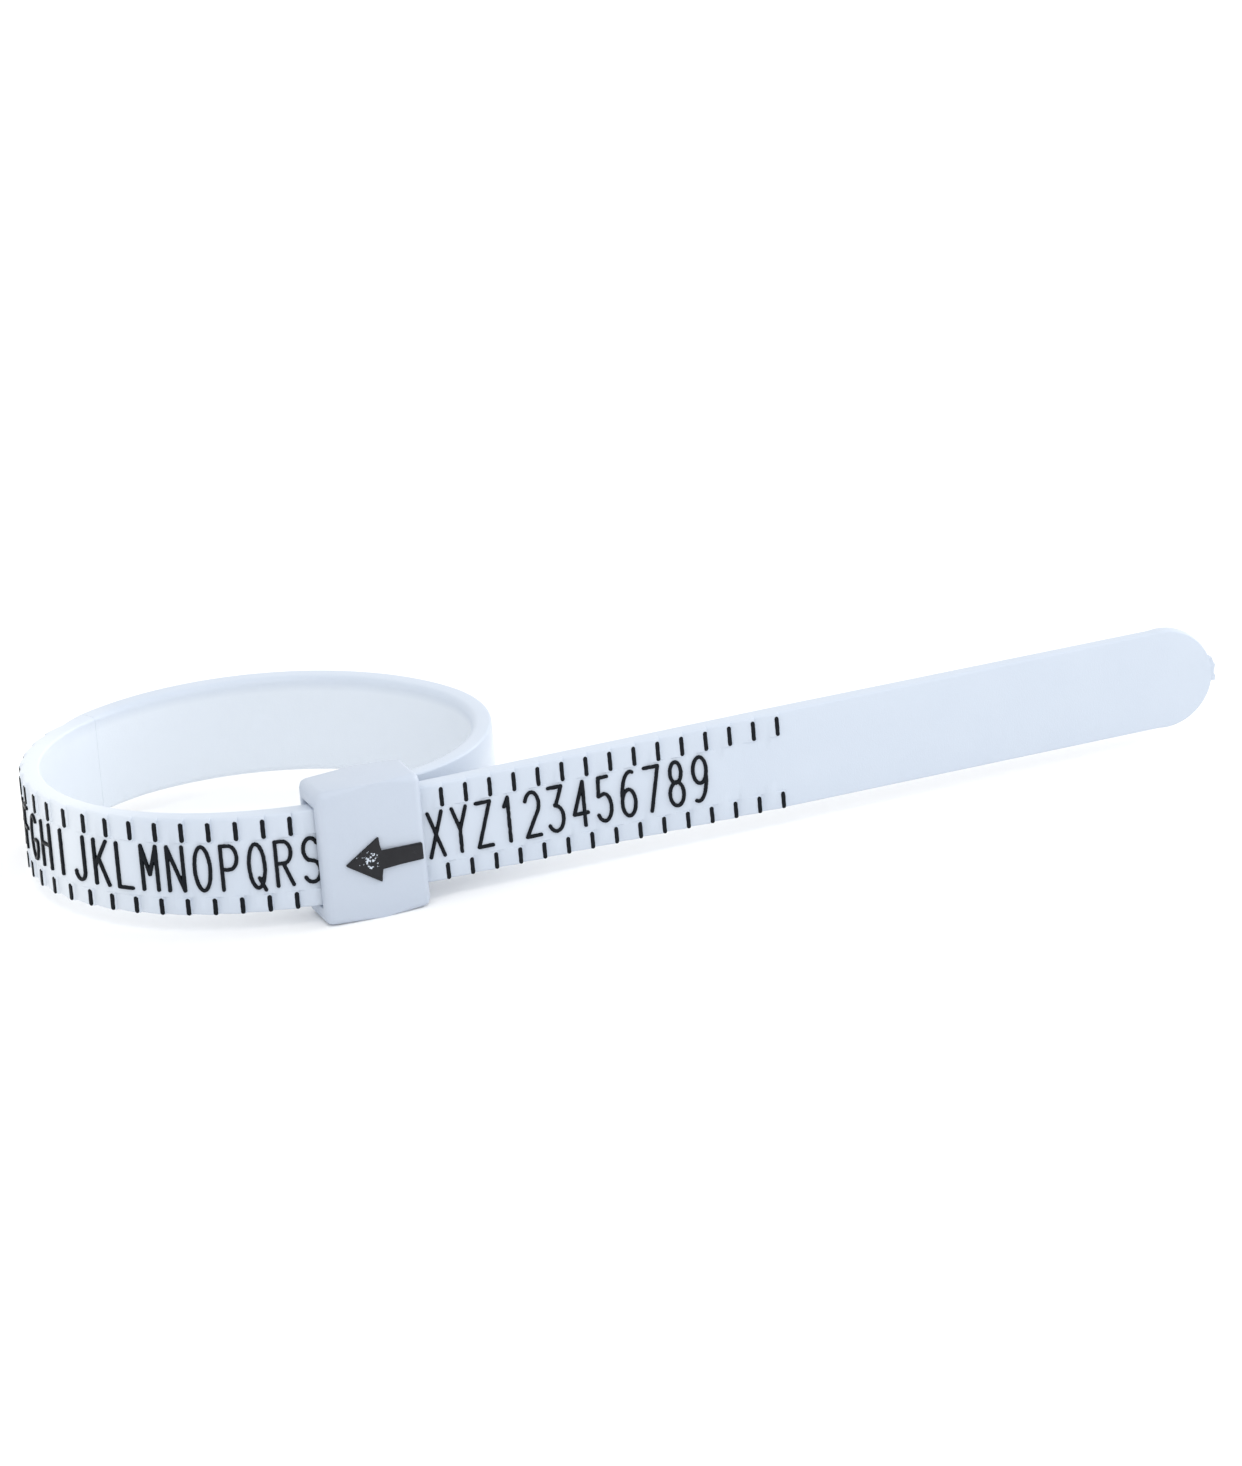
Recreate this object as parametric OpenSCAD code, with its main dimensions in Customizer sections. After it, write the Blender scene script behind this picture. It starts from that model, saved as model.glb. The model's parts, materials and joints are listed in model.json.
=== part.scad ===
// Plastic ring sizer: a toothed strap curled through a buckle on its own fixed end.
// The tail lies along +X, +Z is across the strap's width, and -Y is the marked side.
// The origin is the middle of the buckle's bottom face, on which the gauge stands.

/* [Ring size scale] */
// Strap travel for one ring size, equal to the step in inside circumference
size_pitch = 1.2257; // [0.9:0.01:1.6]
// Marked sizes inside the buckle, under the arrow's wall
sizes_in_buckle = 4; // [3:1:4]
// Marked sizes on the tail, right of the buckle
sizes_on_tail = 12; // [8:1:12]
// Unmarked teeth after the last marked size
spare_teeth = 3; // [0:1:5]

/* [Strap] */
// Width of the strap
strap_w = 4.9; // [3.5:0.1:7]
// How far the strap's middle lies below the buckle's
strap_drop = 0.05; // [0:0.01:0.1]
// Thickness of the strap at a tooth's crest
strap_t = 1.0; // [0.8:0.05:1.4]
// Depth of a tooth
tooth_h = 0.14; // [0.05:0.01:0.25]
// Width of the toothed margin along the upper edge
upper_margin = 1.2; // [0.8:0.05:1.6]
// Width of the toothed margin along the lower edge
lower_margin = 0.9; // [0.6:0.05:1.3]
// How far the letter band lies below the crests
band_drop = 0.08; // [0.02:0.01:0.14]
// Length of the plain tail after the last tooth
plain_tail = 22.45; // [10:0.05:40]
// Thickness of the strap at the tip of the tail
tip_t = 0.6; // [0.4:0.05:1]
// Length of the rounded tip
tip_l = 2.9; // [1:0.1:4]

/* [Loop] */
// Turn of the strap where it enters the buckle, in degrees
entry_turn = 11.5; // [4:0.5:16]
// Turn between the first two cells outside the buckle, in degrees
first_turn = 4.2; // [2:0.1:8]
// Growth of that turn from one cell to the next, in degrees
turn_growth = 0.43; // [0:0.01:0.6]
// Largest turn between two cells, in degrees
max_turn = 9; // [6:0.1:11]
// Number of toothed cells round the loop, from the buckle to the first size
loop_cells = 19; // [17:1:19]
// Plain length after the first size, up to the open pivot
lead_out = 1.28; // [0.6:0.02:2.5]
// Balance between the right-hand arc and the back arc of the loop
arc_balance = 0.8; // [0.5:0.05:1.4]
// Length of the fixed strap root, from the buckle to its first fold
root_l = 4.2; // [3:0.1:6]
// Number of plain links in the loop
plain_links = 5; // [5:1:5]

/* [Buckle] */
// Length of the buckle along the strap
buckle_l = 5.3; // [4:0.1:8]
// Thickness of the wall in front of the strap
front_wall = 0.65; // [0.4:0.05:1.2]
// Mean thickness of the walls above and below the strap
edge_wall = 0.85; // [0.5:0.05:1.5]
// Thickness of the wall behind the strap, at its thicker end
back_wall = 1.03; // [0.7:0.01:1.6]
// Gap between the strap and the slot, in front, behind, above and below
slot_gap = 0.1; // [0.08:0.01:0.2]
// Extra room behind the strap at the slot's loop end
slot_flare = 0.4; // [0.25:0.05:0.6]
// Radius of the buckle's outside edges
buckle_r = 0.3; // [0.1:0.05:0.4]
// Depth of the fixed strap root behind the buckle's back wall
root_depth = 0.55; // [0.3:0.05:1]

/* [Marks] */
// Height of a raised letter or number
letter_h = 2.42; // [1.5:0.01:2.5]
// Width of a raised letter or number
letter_w = 0.88; // [0.5:0.01:0.95]
// Width of a stroke
stroke_w = 0.2; // [0.1:0.01:0.25]
// Width of a tick
tick_w = 0.22; // [0.1:0.01:0.3]
// How far a letter stands up from the letter band
letter_rise = 0.12; // [0.05:0.01:0.14]
// How far a tick stands up from its tooth
tick_rise = 0.04; // [0.02:0.01:0.06]
// Gap between a tick and the letter band's edge
tick_inset = 0.03; // [0:0.01:0.2]
// Rim above the upper ticks
tick_rim = 0.17; // [0:0.01:0.4]
// Letters' centre below the strap's middle
letter_low = 0.07; // [-0.2:0.01:0.2]

/* [Arrow] */
// Length of the raised arrow
arrow_l = 3.9; // [2:0.1:4.5]
// Length of its head
arrow_head_l = 1.75; // [1:0.05:2.2]
// Height of its head
arrow_head_h = 2.3; // [1.5:0.1:3]
// Height of its shaft
arrow_shaft_h = 0.83; // [0.5:0.01:1.2]
// How far it stands up
arrow_rise = 0.18; // [0.05:0.01:0.3]
// Distance from its shaft's end to the buckle's edge
arrow_inset = 0.27; // [0.2:0.01:0.6]
// How far its axis lies below the middle of the buckle
arrow_low = 0.43; // [0:0.01:0.6]

/* [Hidden] */

$fn = 48;
strap_colour = "#DDE4F2";
mark_colour = "#14161C";
arrow_colour = "#2C2D31";

// Scale, in the order in which it passes the buckle from the tail to the loop.
LOOP_MARKS = "SRQPONMLKJIHGFEDCBA";
TAIL_MARKS = "TUVWXYZ123456789";

hinge_gap = 0.03;                       // clear length left at each fold
link_relief = 4.2;                      // lean of a plain link's end face, in degrees
link_steps = 8;                         // straight steps along a plain link
pivot_gap = 0.12;                       // clear length at the open pivot
gate_l = 0.3;                           // moulding gate left on the tip
gate_w = 1.3;
first_tick = 1.17;                      // from the buckle's tail end to the first tick beyond it
nudge = 0.001;                          // keeps two corners of an outline apart
lap = 0.1;                              // overlap of the two halves of the tail's outline
graze = 1.01;                           // least ratio of the tip's radius to half the strap's width
abc_first = 16;                         // first cell of the loop's last toothed stretch

buckle_h = strap_w + 2 * slot_gap + 2 * edge_wall;
buckle_mid = buckle_h / 2;
mid_z = buckle_mid - strap_drop;        // middle of the strap
low_z = mid_z - strap_w / 2;
crest_y = -strap_t / 2;                 // marked side of the tail
inner_y = strap_t / 2;                  // plain side of the tail, where the folds are
slot_front = crest_y - slot_gap;
slot_back = inner_y + slot_gap;
front_y = slot_front - front_wall;
back_y = slot_back + back_wall;
left_x = -buckle_l / 2;
right_x = buckle_l / 2;
entry_x = right_x + first_tick - (sizes_in_buckle + 1) * size_pitch;  // tick beside the buckle's loop end
root_x = 1.5;                           // where the fixed end starts to curve
root_y = back_y + root_depth;

// Turn of cell k, counted from the buckle, against the tail's direction.
function turn(k) = k == 0 ? entry_turn : min(first_turn + turn_growth * (k - 1), max_turn);
function cell_turn(k) = k < 0 ? 0 : k == 0 ? turn(0) : cell_turn(k - 1) + turn(k);
function heading(a) = [-cos(a), sin(a)];      // direction towards the loop, turned by a
function outward(a) = [-sin(a), -cos(a)];
// Inner corner at the tail end of cell k. Cells on the tail have negative numbers.
function cell_at(k) = k <= 0 ? [entry_x - k * size_pitch, inner_y]
                             : cell_at(k - 1) + size_pitch * heading(cell_turn(k - 1));

// The loop's plain stretch: two tangent arcs from the fixed root to the end of the toothed stretch.
last_cell = loop_cells - 1;
lead_turn = cell_turn(last_cell) + turn(last_cell) * lead_out / size_pitch / 2;
end_turn = lead_turn + turn(last_cell) * lead_out / size_pitch / 2;
start_p = [root_x, root_y];
start_t = [1, 0];
end_p = cell_at(loop_cells) + lead_out * heading(lead_turn);
end_t = -heading(end_turn);
span = end_p - start_p;
quad_a = 2 * arc_balance * (start_t * end_t - 1);
quad_b = -2 * (arc_balance * (span * start_t) + span * end_t);
quad_c = span * span;
arm_2 = (-quad_b - sqrt(quad_b * quad_b - 4 * quad_a * quad_c)) / (2 * quad_a);
arm_1 = arc_balance * arm_2;
knee_1 = start_p + arm_1 * start_t;
knee_2 = end_p - arm_2 * end_t;
meet_p = knee_1 + (knee_2 - knee_1) * arm_1 / (arm_1 + arm_2);
meet_turn = 2 * atan2(meet_p[1] - start_p[1], meet_p[0] - start_p[0]);
right_r = (meet_p - start_p) * (meet_p - start_p) / (2 * (meet_p[1] - start_p[1]));
back_turn = 180 - end_turn + 180 - meet_turn;
back_chord = end_p - meet_p;
back_r = norm(back_chord) / (2 * sin(back_turn / 2));
right_l = right_r * meet_turn * PI / 180;
back_l = back_r * back_turn * PI / 180;
plain_l = right_l + back_l;
link_l = (plain_l - root_l) / plain_links;

function plain_turn(s) = s < right_l ? s / right_r * 180 / PI : meet_turn + (s - right_l) / back_r * 180 / PI;
function plain_at(s) =
  let (a = plain_turn(s))
  s < right_l ? start_p + right_r * [sin(a), 1 - cos(a)]
              : meet_p + back_r * [sin(a) - sin(meet_turn), cos(meet_turn) - cos(a)];
function plain_out(s) = let (a = plain_turn(s)) [sin(a), -cos(a)];
function link_start(n) = root_l + (n - 1) * link_l;

// Outline of the plain strap from s0 to s1, each end face leaned back by its own angle.
module plain_outline(s0, s1, lean_0, lean_1) {
  back_0 = strap_t * tan(lean_0);
  back_1 = strap_t * tan(lean_1);
  inner = [for (i = [0 : link_steps]) plain_at(s0 + (s1 - s0) * i / link_steps)];
  outer_l = s1 - s0 - back_0 - back_1;
  outer = [for (i = [link_steps : -1 : 0])
    let (s = s0 + back_0 + outer_l * i / link_steps) plain_at(s) + strap_t * plain_out(s)];
  polygon(concat(inner, outer));
}

module plain_link(n) {
  end_gap = n == plain_links ? pivot_gap : hinge_gap / 2;
  color(strap_colour) translate([0, 0, low_z]) linear_extrude(strap_w)
    plain_outline(link_start(n) + hinge_gap / 2, link_start(n + 1) - end_gap, link_relief, link_relief);
}

// Inner corners of cells first to last, and their outer corners back again.
function cell_start(k, first, gap) = k == first ? gap : 0;
function cell_stop(k, last, gap) = size_pitch - (k == last ? gap : 0);
function inner_corners(first, last, gap) = concat(
  [for (k = [first : last]) cell_at(k) + cell_start(k, first, gap) * heading(cell_turn(k))],
  [cell_at(last) + cell_stop(last, last, gap) * heading(cell_turn(last))]);
// The crest is at each cell's tail end, with a flat land as wide as a tick.
function toothed_corners(first, last, gap) = [
  for (k = [last : -1 : first]) let (h = heading(cell_turn(k)), n = outward(cell_turn(k)), c = cell_at(k))
    each [c + cell_stop(k, last, gap) * h + (strap_t - tooth_h) * n,
          c + tick_w * h + strap_t * n,
          c + cell_start(k, first, gap) * h + strap_t * n]];
function band_corners(first, last, gap) = [
  for (k = [last : -1 : first]) let (h = heading(cell_turn(k)), n = outward(cell_turn(k)), c = cell_at(k))
    each [c + cell_stop(k, last, gap) * h + (strap_t - band_drop) * n,
          c + cell_start(k, first, gap) * h + (strap_t - band_drop) * n]];

// A stretch of toothed strap. loop_end and tail_end are plain outlines that go on from it.
module toothed_strap(first, last, loop_end = [], tail_end = [], gap = hinge_gap / 2) {
  inner = inner_corners(first, last, gap);
  module margin() {
    polygon(concat(inner, loop_end, toothed_corners(first, last, gap), tail_end));
  }
  color(strap_colour) translate([0, 0, low_z]) {
    linear_extrude(lower_margin) margin();
    translate([0, 0, lower_margin]) linear_extrude(strap_w - lower_margin - upper_margin)
      polygon(concat(inner, loop_end, band_corners(first, last, gap), tail_end));
    translate([0, 0, strap_w - upper_margin]) linear_extrude(upper_margin) margin();
  }
}

// The last toothed stretch, with the plain lead-out up to the open pivot.
module cells_abc() {
  pivot_p = end_p + pivot_gap * end_t;
  toothed_strap(abc_first, last_cell, loop_end = [pivot_p, pivot_p + strap_t * outward(end_turn)]);
}

tail_teeth = sizes_in_buckle + sizes_on_tail + spare_teeth;
teeth_end = entry_x + tail_teeth * size_pitch;
tip_x = teeth_end + plain_tail;
plain_y = crest_y + band_drop;
// Radius of the round end that leaves the strap's edges at the start of the tip, kept clear of
// half the strap's width, where the two would only graze.
round_w = (tip_l * tip_l + strap_w * strap_w / 4) / (2 * tip_l);
tip_round = max(round_w, graze * strap_w / 2);

module tail() {
  color(strap_colour) intersection() {
    toothed_strap(-tail_teeth, -1,
      tail_end = [[teeth_end, plain_y + nudge], [tip_x, plain_y], [tip_x, plain_y + tip_t]]);
    translate([0, strap_t, mid_z]) rotate([90, 0, 0]) linear_extrude(2 * strap_t) {
      translate([entry_x - size_pitch, -strap_w]) square([tip_x - tip_l - entry_x + size_pitch, 2 * strap_w]);
      intersection() {
        translate([tip_x - tip_l - lap, -strap_w]) square([tip_l + lap, 2 * strap_w]);
        translate([tip_x - tip_round, 0]) circle(tip_round, $fn = 96);
      }
    }
  }
  color(strap_colour) translate([tip_x - gate_l, plain_y, mid_z - gate_w / 2])
    cube([2 * gate_l, tip_t, gate_w]);
}

// --- Buckle ---

module rounded_rectangle(w, h, r) {
  translate([r, 0]) square([w - 2 * r, h]);
  translate([0, r]) square([w, h - 2 * r]);
  for (x = [r, w - r], y = [r, h - r]) translate([x, y]) circle(r);
}

module buckle_block() {
  depth = back_y - front_y;
  intersection() {
    translate([left_x, front_y, 0]) linear_extrude(buckle_h) rounded_rectangle(buckle_l, depth, buckle_r);
    translate([left_x, back_y, 0]) rotate([90, 0, 0]) linear_extrude(depth)
      rounded_rectangle(buckle_l, buckle_h, buckle_r);
  }
}

slot_low = low_z - slot_gap;
slot_high = slot_low + strap_w + 2 * slot_gap;
flare_x = 0.3;                          // the slot is parallel from here to the tail end

module buckle_front() {
  color(strap_colour) intersection() {
    buckle_block();
    translate([left_x, front_y, 0]) cube([buckle_l, front_wall, buckle_h]);
  }
}

module buckle_top() {
  color(strap_colour) intersection() {
    buckle_block();
    translate([left_x, slot_front, slot_high]) cube([buckle_l, back_y - slot_front, buckle_h - slot_high]);
  }
}

module buckle_bottom() {
  color(strap_colour) intersection() {
    buckle_block();
    translate([left_x, slot_front, 0]) cube([buckle_l, back_y - slot_front, slot_low]);
  }
}

module buckle_back() {
  color(strap_colour) intersection() {
    buckle_block();
    translate([0, 0, slot_low]) linear_extrude(slot_high - slot_low) polygon([
      [left_x, back_y], [right_x, back_y], [right_x, slot_back], [flare_x, slot_back],
      [left_x, slot_back + slot_flare]
    ]);
  }
}

// The fixed end of the strap: a pad behind the buckle, which curves away to the first fold.
module strap_root() {
  leave_a = asin((right_x - root_x) / (right_r + strap_t));
  leave_s = right_r * leave_a * PI / 180;
  end_s = root_l - hinge_gap / 2;
  stop_s = end_s - strap_t * tan(link_relief);
  color(strap_colour) translate([0, 0, low_z]) linear_extrude(strap_w) polygon(concat(
    [[left_x + buckle_r, root_y]],
    [for (i = [0 : link_steps]) plain_at(end_s * i / link_steps)],
    [for (i = [link_steps : -1 : 0])
      let (s = leave_s + (stop_s - leave_s) * i / link_steps) plain_at(s) + strap_t * plain_out(s)],
    [[right_x, back_y], [left_x + buckle_r, back_y]]
  ));
}

module buckle_arrow() {
  end_x = right_x - arrow_inset;
  color(arrow_colour) translate([end_x, front_y, buckle_mid - arrow_low]) rotate([90, 0, 0])
    linear_extrude(arrow_rise) polygon([
      [0, -arrow_shaft_h / 2], [0, arrow_shaft_h / 2],
      [arrow_head_l - arrow_l, arrow_shaft_h / 2], [arrow_head_l - arrow_l, arrow_head_h / 2],
      [-arrow_l, 0],
      [arrow_head_l - arrow_l, -arrow_head_h / 2], [arrow_head_l - arrow_l, -arrow_shaft_h / 2]
    ]);
}

// --- Letters and numbers: strokes in a box one wide and one high ---

function bow(cx, cy, rx, ry, a0, a1) =
  [for (i = [0 : 8]) let (a = a0 + (a1 - a0) * i / 8) [cx + rx * cos(a), cy + ry * sin(a)]];

function strokes(c) =
  c == "A" ? [[[0, 0], [0.5, 1], [1, 0]], [[0.2, 0.34], [0.8, 0.34]]] :
  c == "B" ? [[[0, 0], [0, 1]], concat([[0, 1]], bow(0.5, 0.76, 0.42, 0.24, 90, -90), [[0, 0.52]]),
              concat([[0, 0.52]], bow(0.5, 0.26, 0.5, 0.26, 90, -90), [[0, 0]])] :
  c == "C" ? [bow(0.52, 0.5, 0.52, 0.5, 50, 310)] :
  c == "D" ? [[[0, 0], [0, 1]], concat([[0, 1]], bow(0.35, 0.5, 0.65, 0.5, 90, -90), [[0, 0]])] :
  c == "E" ? [[[0.95, 1], [0, 1], [0, 0], [0.95, 0]], [[0, 0.52], [0.8, 0.52]]] :
  c == "F" ? [[[0.95, 1], [0, 1], [0, 0]], [[0, 0.52], [0.8, 0.52]]] :
  c == "G" ? [concat(bow(0.52, 0.5, 0.52, 0.5, 50, 330), [[0.98, 0.44], [0.55, 0.44]])] :
  c == "H" ? [[[0, 0], [0, 1]], [[1, 0], [1, 1]], [[0, 0.52], [1, 0.52]]] :
  c == "I" ? [[[0.5, 0], [0.5, 1]]] :
  c == "J" ? [concat([[0.85, 1]], bow(0.45, 0.22, 0.4, 0.22, 0, -170))] :
  c == "K" ? [[[0, 0], [0, 1]], [[0.95, 1], [0.05, 0.42]], [[0.3, 0.6], [1, 0]]] :
  c == "L" ? [[[0, 1], [0, 0], [0.95, 0]]] :
  c == "M" ? [[[0, 0], [0, 1], [0.5, 0.35], [1, 1], [1, 0]]] :
  c == "N" ? [[[0, 0], [0, 1], [1, 0], [1, 1]]] :
  c == "O" ? [bow(0.5, 0.5, 0.5, 0.5, 90, 275), bow(0.5, 0.5, 0.5, 0.5, 95, -90)] :
  c == "P" ? [[[0, 0], [0, 1]], concat([[0, 1]], bow(0.5, 0.73, 0.5, 0.27, 90, -90), [[0, 0.46]])] :
  c == "Q" ? [bow(0.5, 0.5, 0.5, 0.5, 90, 275), bow(0.5, 0.5, 0.5, 0.5, 95, -90),
              [[0.6, 0.22], [0.95, -0.06]]] :
  c == "R" ? [[[0, 0], [0, 1]], concat([[0, 1]], bow(0.5, 0.75, 0.48, 0.25, 90, -90), [[0, 0.5]]),
              [[0.45, 0.5], [1, 0]]] :
  c == "S" ? [concat(bow(0.5, 0.745, 0.45, 0.255, 30, 250), bow(0.5, 0.245, 0.5, 0.245, 70, -150))] :
  c == "T" ? [[[0, 1], [1, 1]], [[0.5, 1], [0.5, 0]]] :
  c == "U" ? [concat([[0, 1]], bow(0.5, 0.3, 0.5, 0.3, 180, 360), [[1, 1]])] :
  c == "V" ? [[[0, 1], [0.5, 0], [1, 1]]] :
  c == "W" ? [[[0, 1], [0.25, 0], [0.5, 0.7], [0.75, 0], [1, 1]]] :
  c == "X" ? [[[0, 0], [1, 1]], [[0, 1], [1, 0]]] :
  c == "Y" ? [[[0, 1], [0.5, 0.5], [1, 1]], [[0.5, 0.5], [0.5, 0]]] :
  c == "Z" ? [[[0, 1], [1, 1], [0, 0], [1, 0]]] :
  c == "1" ? [[[0.25, 0.8], [0.55, 1], [0.55, 0]]] :
  c == "2" ? [concat(bow(0.5, 0.72, 0.5, 0.28, 160, -30), [[0, 0], [1, 0]])] :
  c == "3" ? [[[0, 1], [0.95, 1], [0.45, 0.58]],
              concat([[0.42, 0.6]], bow(0.42, 0.29, 0.55, 0.29, 90, -150))] :
  c == "4" ? [[[0.75, 1], [0, 0.28], [1, 0.28]], [[0.75, 0], [0.75, 1]]] :
  c == "5" ? [concat([[0.78, 1], [0.15, 1], [0.08, 0.58]], bow(0.45, 0.31, 0.52, 0.31, 110, -150))] :
  c == "6" ? [bow(0.7, 0.4, 0.66, 0.6, 75, 175), bow(0.5, 0.3, 0.48, 0.3, 160, 345),
              bow(0.5, 0.3, 0.48, 0.3, 165, -20)] :
  c == "7" ? [[[0, 1], [1, 1], [0.35, 0]]] :
  c == "8" ? [bow(0.5, 0.76, 0.4, 0.24, -95, 95), bow(0.5, 0.76, 0.4, 0.24, 85, 275),
              bow(0.5, 0.27, 0.5, 0.27, -95, 95), bow(0.5, 0.27, 0.5, 0.27, 85, 275)] :
  [bow(0.3, 0.6, 0.66, 0.6, -105, -5), bow(0.5, 0.7, 0.48, 0.3, -20, 165),
   bow(0.5, 0.7, 0.48, 0.3, 160, 345)];

function unit(v) = v / norm(v);
function left_of(v) = [-v[1], v[0]];
// Mitre at point i of a stroke, scaled to the half width, and never longer than twice that.
function mitre(p, i) =
  let (n = len(p) - 1,
       before = unit(p[max(i, 1)] - p[max(i, 1) - 1]),
       after = unit(p[min(i + 1, n)] - p[min(i + 1, n) - 1]),
       across = left_of(before) + left_of(after))
  stroke_w * across / max(across * across, 0.5);

module stroke(points) {
  p = [for (q = points) [(q[0] - 0.5) * (letter_w - stroke_w), (q[1] - 0.5) * (letter_h - stroke_w)]];
  n = len(p) - 1;
  polygon(concat([for (i = [0 : n]) p[i] + mitre(p, i)], [for (i = [n : -1 : 0]) p[i] - mitre(p, i)]));
}

module letter(c) {
  for (s = strokes(c)) stroke(s);
}

// Places a mark on cell k: x runs to the tail from the cell's tail end, y across the strap.
module on_cell(k, level) {
  translate([cell_at(k)[0], cell_at(k)[1], mid_z]) rotate([0, 0, -cell_turn(k)])
    translate([0, -level, 0]) rotate([90, 0, 0]) children();
}

letter_x = -letter_w / 2 - hinge_gap;
upper_tick_z = strap_w / 2 - upper_margin + tick_inset;
upper_tick_l = upper_margin - tick_inset - tick_rim;
lower_tick_l = lower_margin - tick_inset;

module ticks(k) {
  color(mark_colour) on_cell(k, strap_t) {
    translate([hinge_gap / 2 - tick_w, upper_tick_z, 0]) cube([tick_w - hinge_gap, upper_tick_l, tick_rise]);
    translate([hinge_gap / 2 - tick_w, -strap_w / 2, 0]) cube([tick_w - hinge_gap, lower_tick_l, tick_rise]);
  }
}

module mark(k, c) {
  color(mark_colour) on_cell(k, strap_t - band_drop) linear_extrude(letter_rise)
    translate([letter_x, -letter_low]) letter(c);
  ticks(k);
}

module loop_marks(first, last) {
  for (k = [first : last]) mark(k, LOOP_MARKS[k]);
}

module marks_tail() {
  for (i = [0 : sizes_in_buckle + sizes_on_tail - 1]) mark(-1 - i, TAIL_MARKS[i]);
  for (i = [1 : 1 : spare_teeth]) ticks(-sizes_in_buckle - sizes_on_tail - i);
}

buckle_front();
buckle_back();
buckle_top();
buckle_bottom();
buckle_arrow();
strap_root();
plain_link(1);  // plain_link_1
plain_link(2);  // plain_link_2
plain_link(3);  // plain_link_3
plain_link(4);  // plain_link_4
plain_link(5);  // plain_link_5
tail();
toothed_strap(0, 0);  // cell_s
toothed_strap(1, 2);  // cells_qr
toothed_strap(3, 3);  // cell_p
toothed_strap(4, 6);  // cells_mno
toothed_strap(7, 9);  // cells_jkl
toothed_strap(10, 12);  // cells_ghi
toothed_strap(13, 15);  // cells_def
cells_abc();
marks_tail();
loop_marks(0, 0);  // marks_s
loop_marks(1, 2);  // marks_qr
loop_marks(3, 3);  // marks_p
loop_marks(4, 6);  // marks_mno
loop_marks(7, 9);  // marks_jkl
loop_marks(10, 12);  // marks_ghi
loop_marks(13, 15);  // marks_def
loop_marks(abc_first, last_cell);  // marks_abc
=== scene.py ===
"""A plastic ring sizer: a toothed strap curled through a buckle, with raised black letters and numbers.

Every length inside the code is in millimetres, in the frame of the CAD model: +X runs along the tail,
+Z across the strap, and -Y is the marked side. MM turns them into metres as a mesh is made.
"""

import json
import math

import bmesh
import bpy
import numpy as np
from mathutils import Matrix, Vector


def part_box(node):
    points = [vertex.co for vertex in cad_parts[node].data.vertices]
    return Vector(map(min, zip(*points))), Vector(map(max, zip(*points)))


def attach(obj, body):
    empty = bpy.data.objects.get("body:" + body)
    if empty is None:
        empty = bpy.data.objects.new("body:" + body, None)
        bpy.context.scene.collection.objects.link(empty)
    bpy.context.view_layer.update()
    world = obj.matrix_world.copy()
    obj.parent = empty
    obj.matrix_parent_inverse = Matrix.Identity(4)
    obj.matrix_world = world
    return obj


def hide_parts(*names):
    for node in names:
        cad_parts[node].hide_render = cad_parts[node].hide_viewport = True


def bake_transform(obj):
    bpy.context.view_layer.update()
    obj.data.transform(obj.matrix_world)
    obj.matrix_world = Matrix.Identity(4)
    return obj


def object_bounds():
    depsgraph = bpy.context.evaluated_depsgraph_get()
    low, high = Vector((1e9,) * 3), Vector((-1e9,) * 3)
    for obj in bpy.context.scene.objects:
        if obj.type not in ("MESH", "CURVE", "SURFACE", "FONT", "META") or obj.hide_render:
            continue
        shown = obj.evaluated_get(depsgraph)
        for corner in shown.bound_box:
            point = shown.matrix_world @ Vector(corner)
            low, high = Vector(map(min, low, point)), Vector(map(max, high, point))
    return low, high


bl_info = {
    "name": "Ring Sizer",
    "version": (1, 0, 0),
    "blender": (4, 5, 0),
    "location": "3D View > Sidebar > Ring Sizer",
    "description": "Builds the looks of a plastic ring sizer around its CAD frame",
    "category": "Object",
}

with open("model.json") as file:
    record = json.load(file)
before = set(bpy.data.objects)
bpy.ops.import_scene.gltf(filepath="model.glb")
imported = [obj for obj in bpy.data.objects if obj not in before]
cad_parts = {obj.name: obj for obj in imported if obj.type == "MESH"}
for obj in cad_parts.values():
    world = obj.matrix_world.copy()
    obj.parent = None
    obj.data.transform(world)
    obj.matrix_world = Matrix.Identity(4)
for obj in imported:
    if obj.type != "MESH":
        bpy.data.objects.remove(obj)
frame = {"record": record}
CAD_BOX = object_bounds()
MM = 0.001
GATE_LENGTH = 0.3     # how far the torn gate stands out past the tip of the tail
ROOT_DEPTH = 0.55     # depth of the fixed end behind the buckle's back wall
ROOT_X = 1.5          # where the fixed end starts to curve
LETTER_DROP = 0.07    # how far the letters' middle lies below the strap's
JOINTS = {j["name"]: j for j in frame["record"]["behaviour"]["joints"]}
LOOP_MARKS = "SRQPONMLKJIHGFEDCBA"
TAIL_MARKS = "TUVWXYZ123456789"


def box_mm(node):
    """The lowest and highest corners of a CAD node, in millimetres."""
    lo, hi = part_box(node)
    return Vector(lo) / MM, Vector(hi) / MM


# ---------------------------------------------------------------- settings


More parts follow.
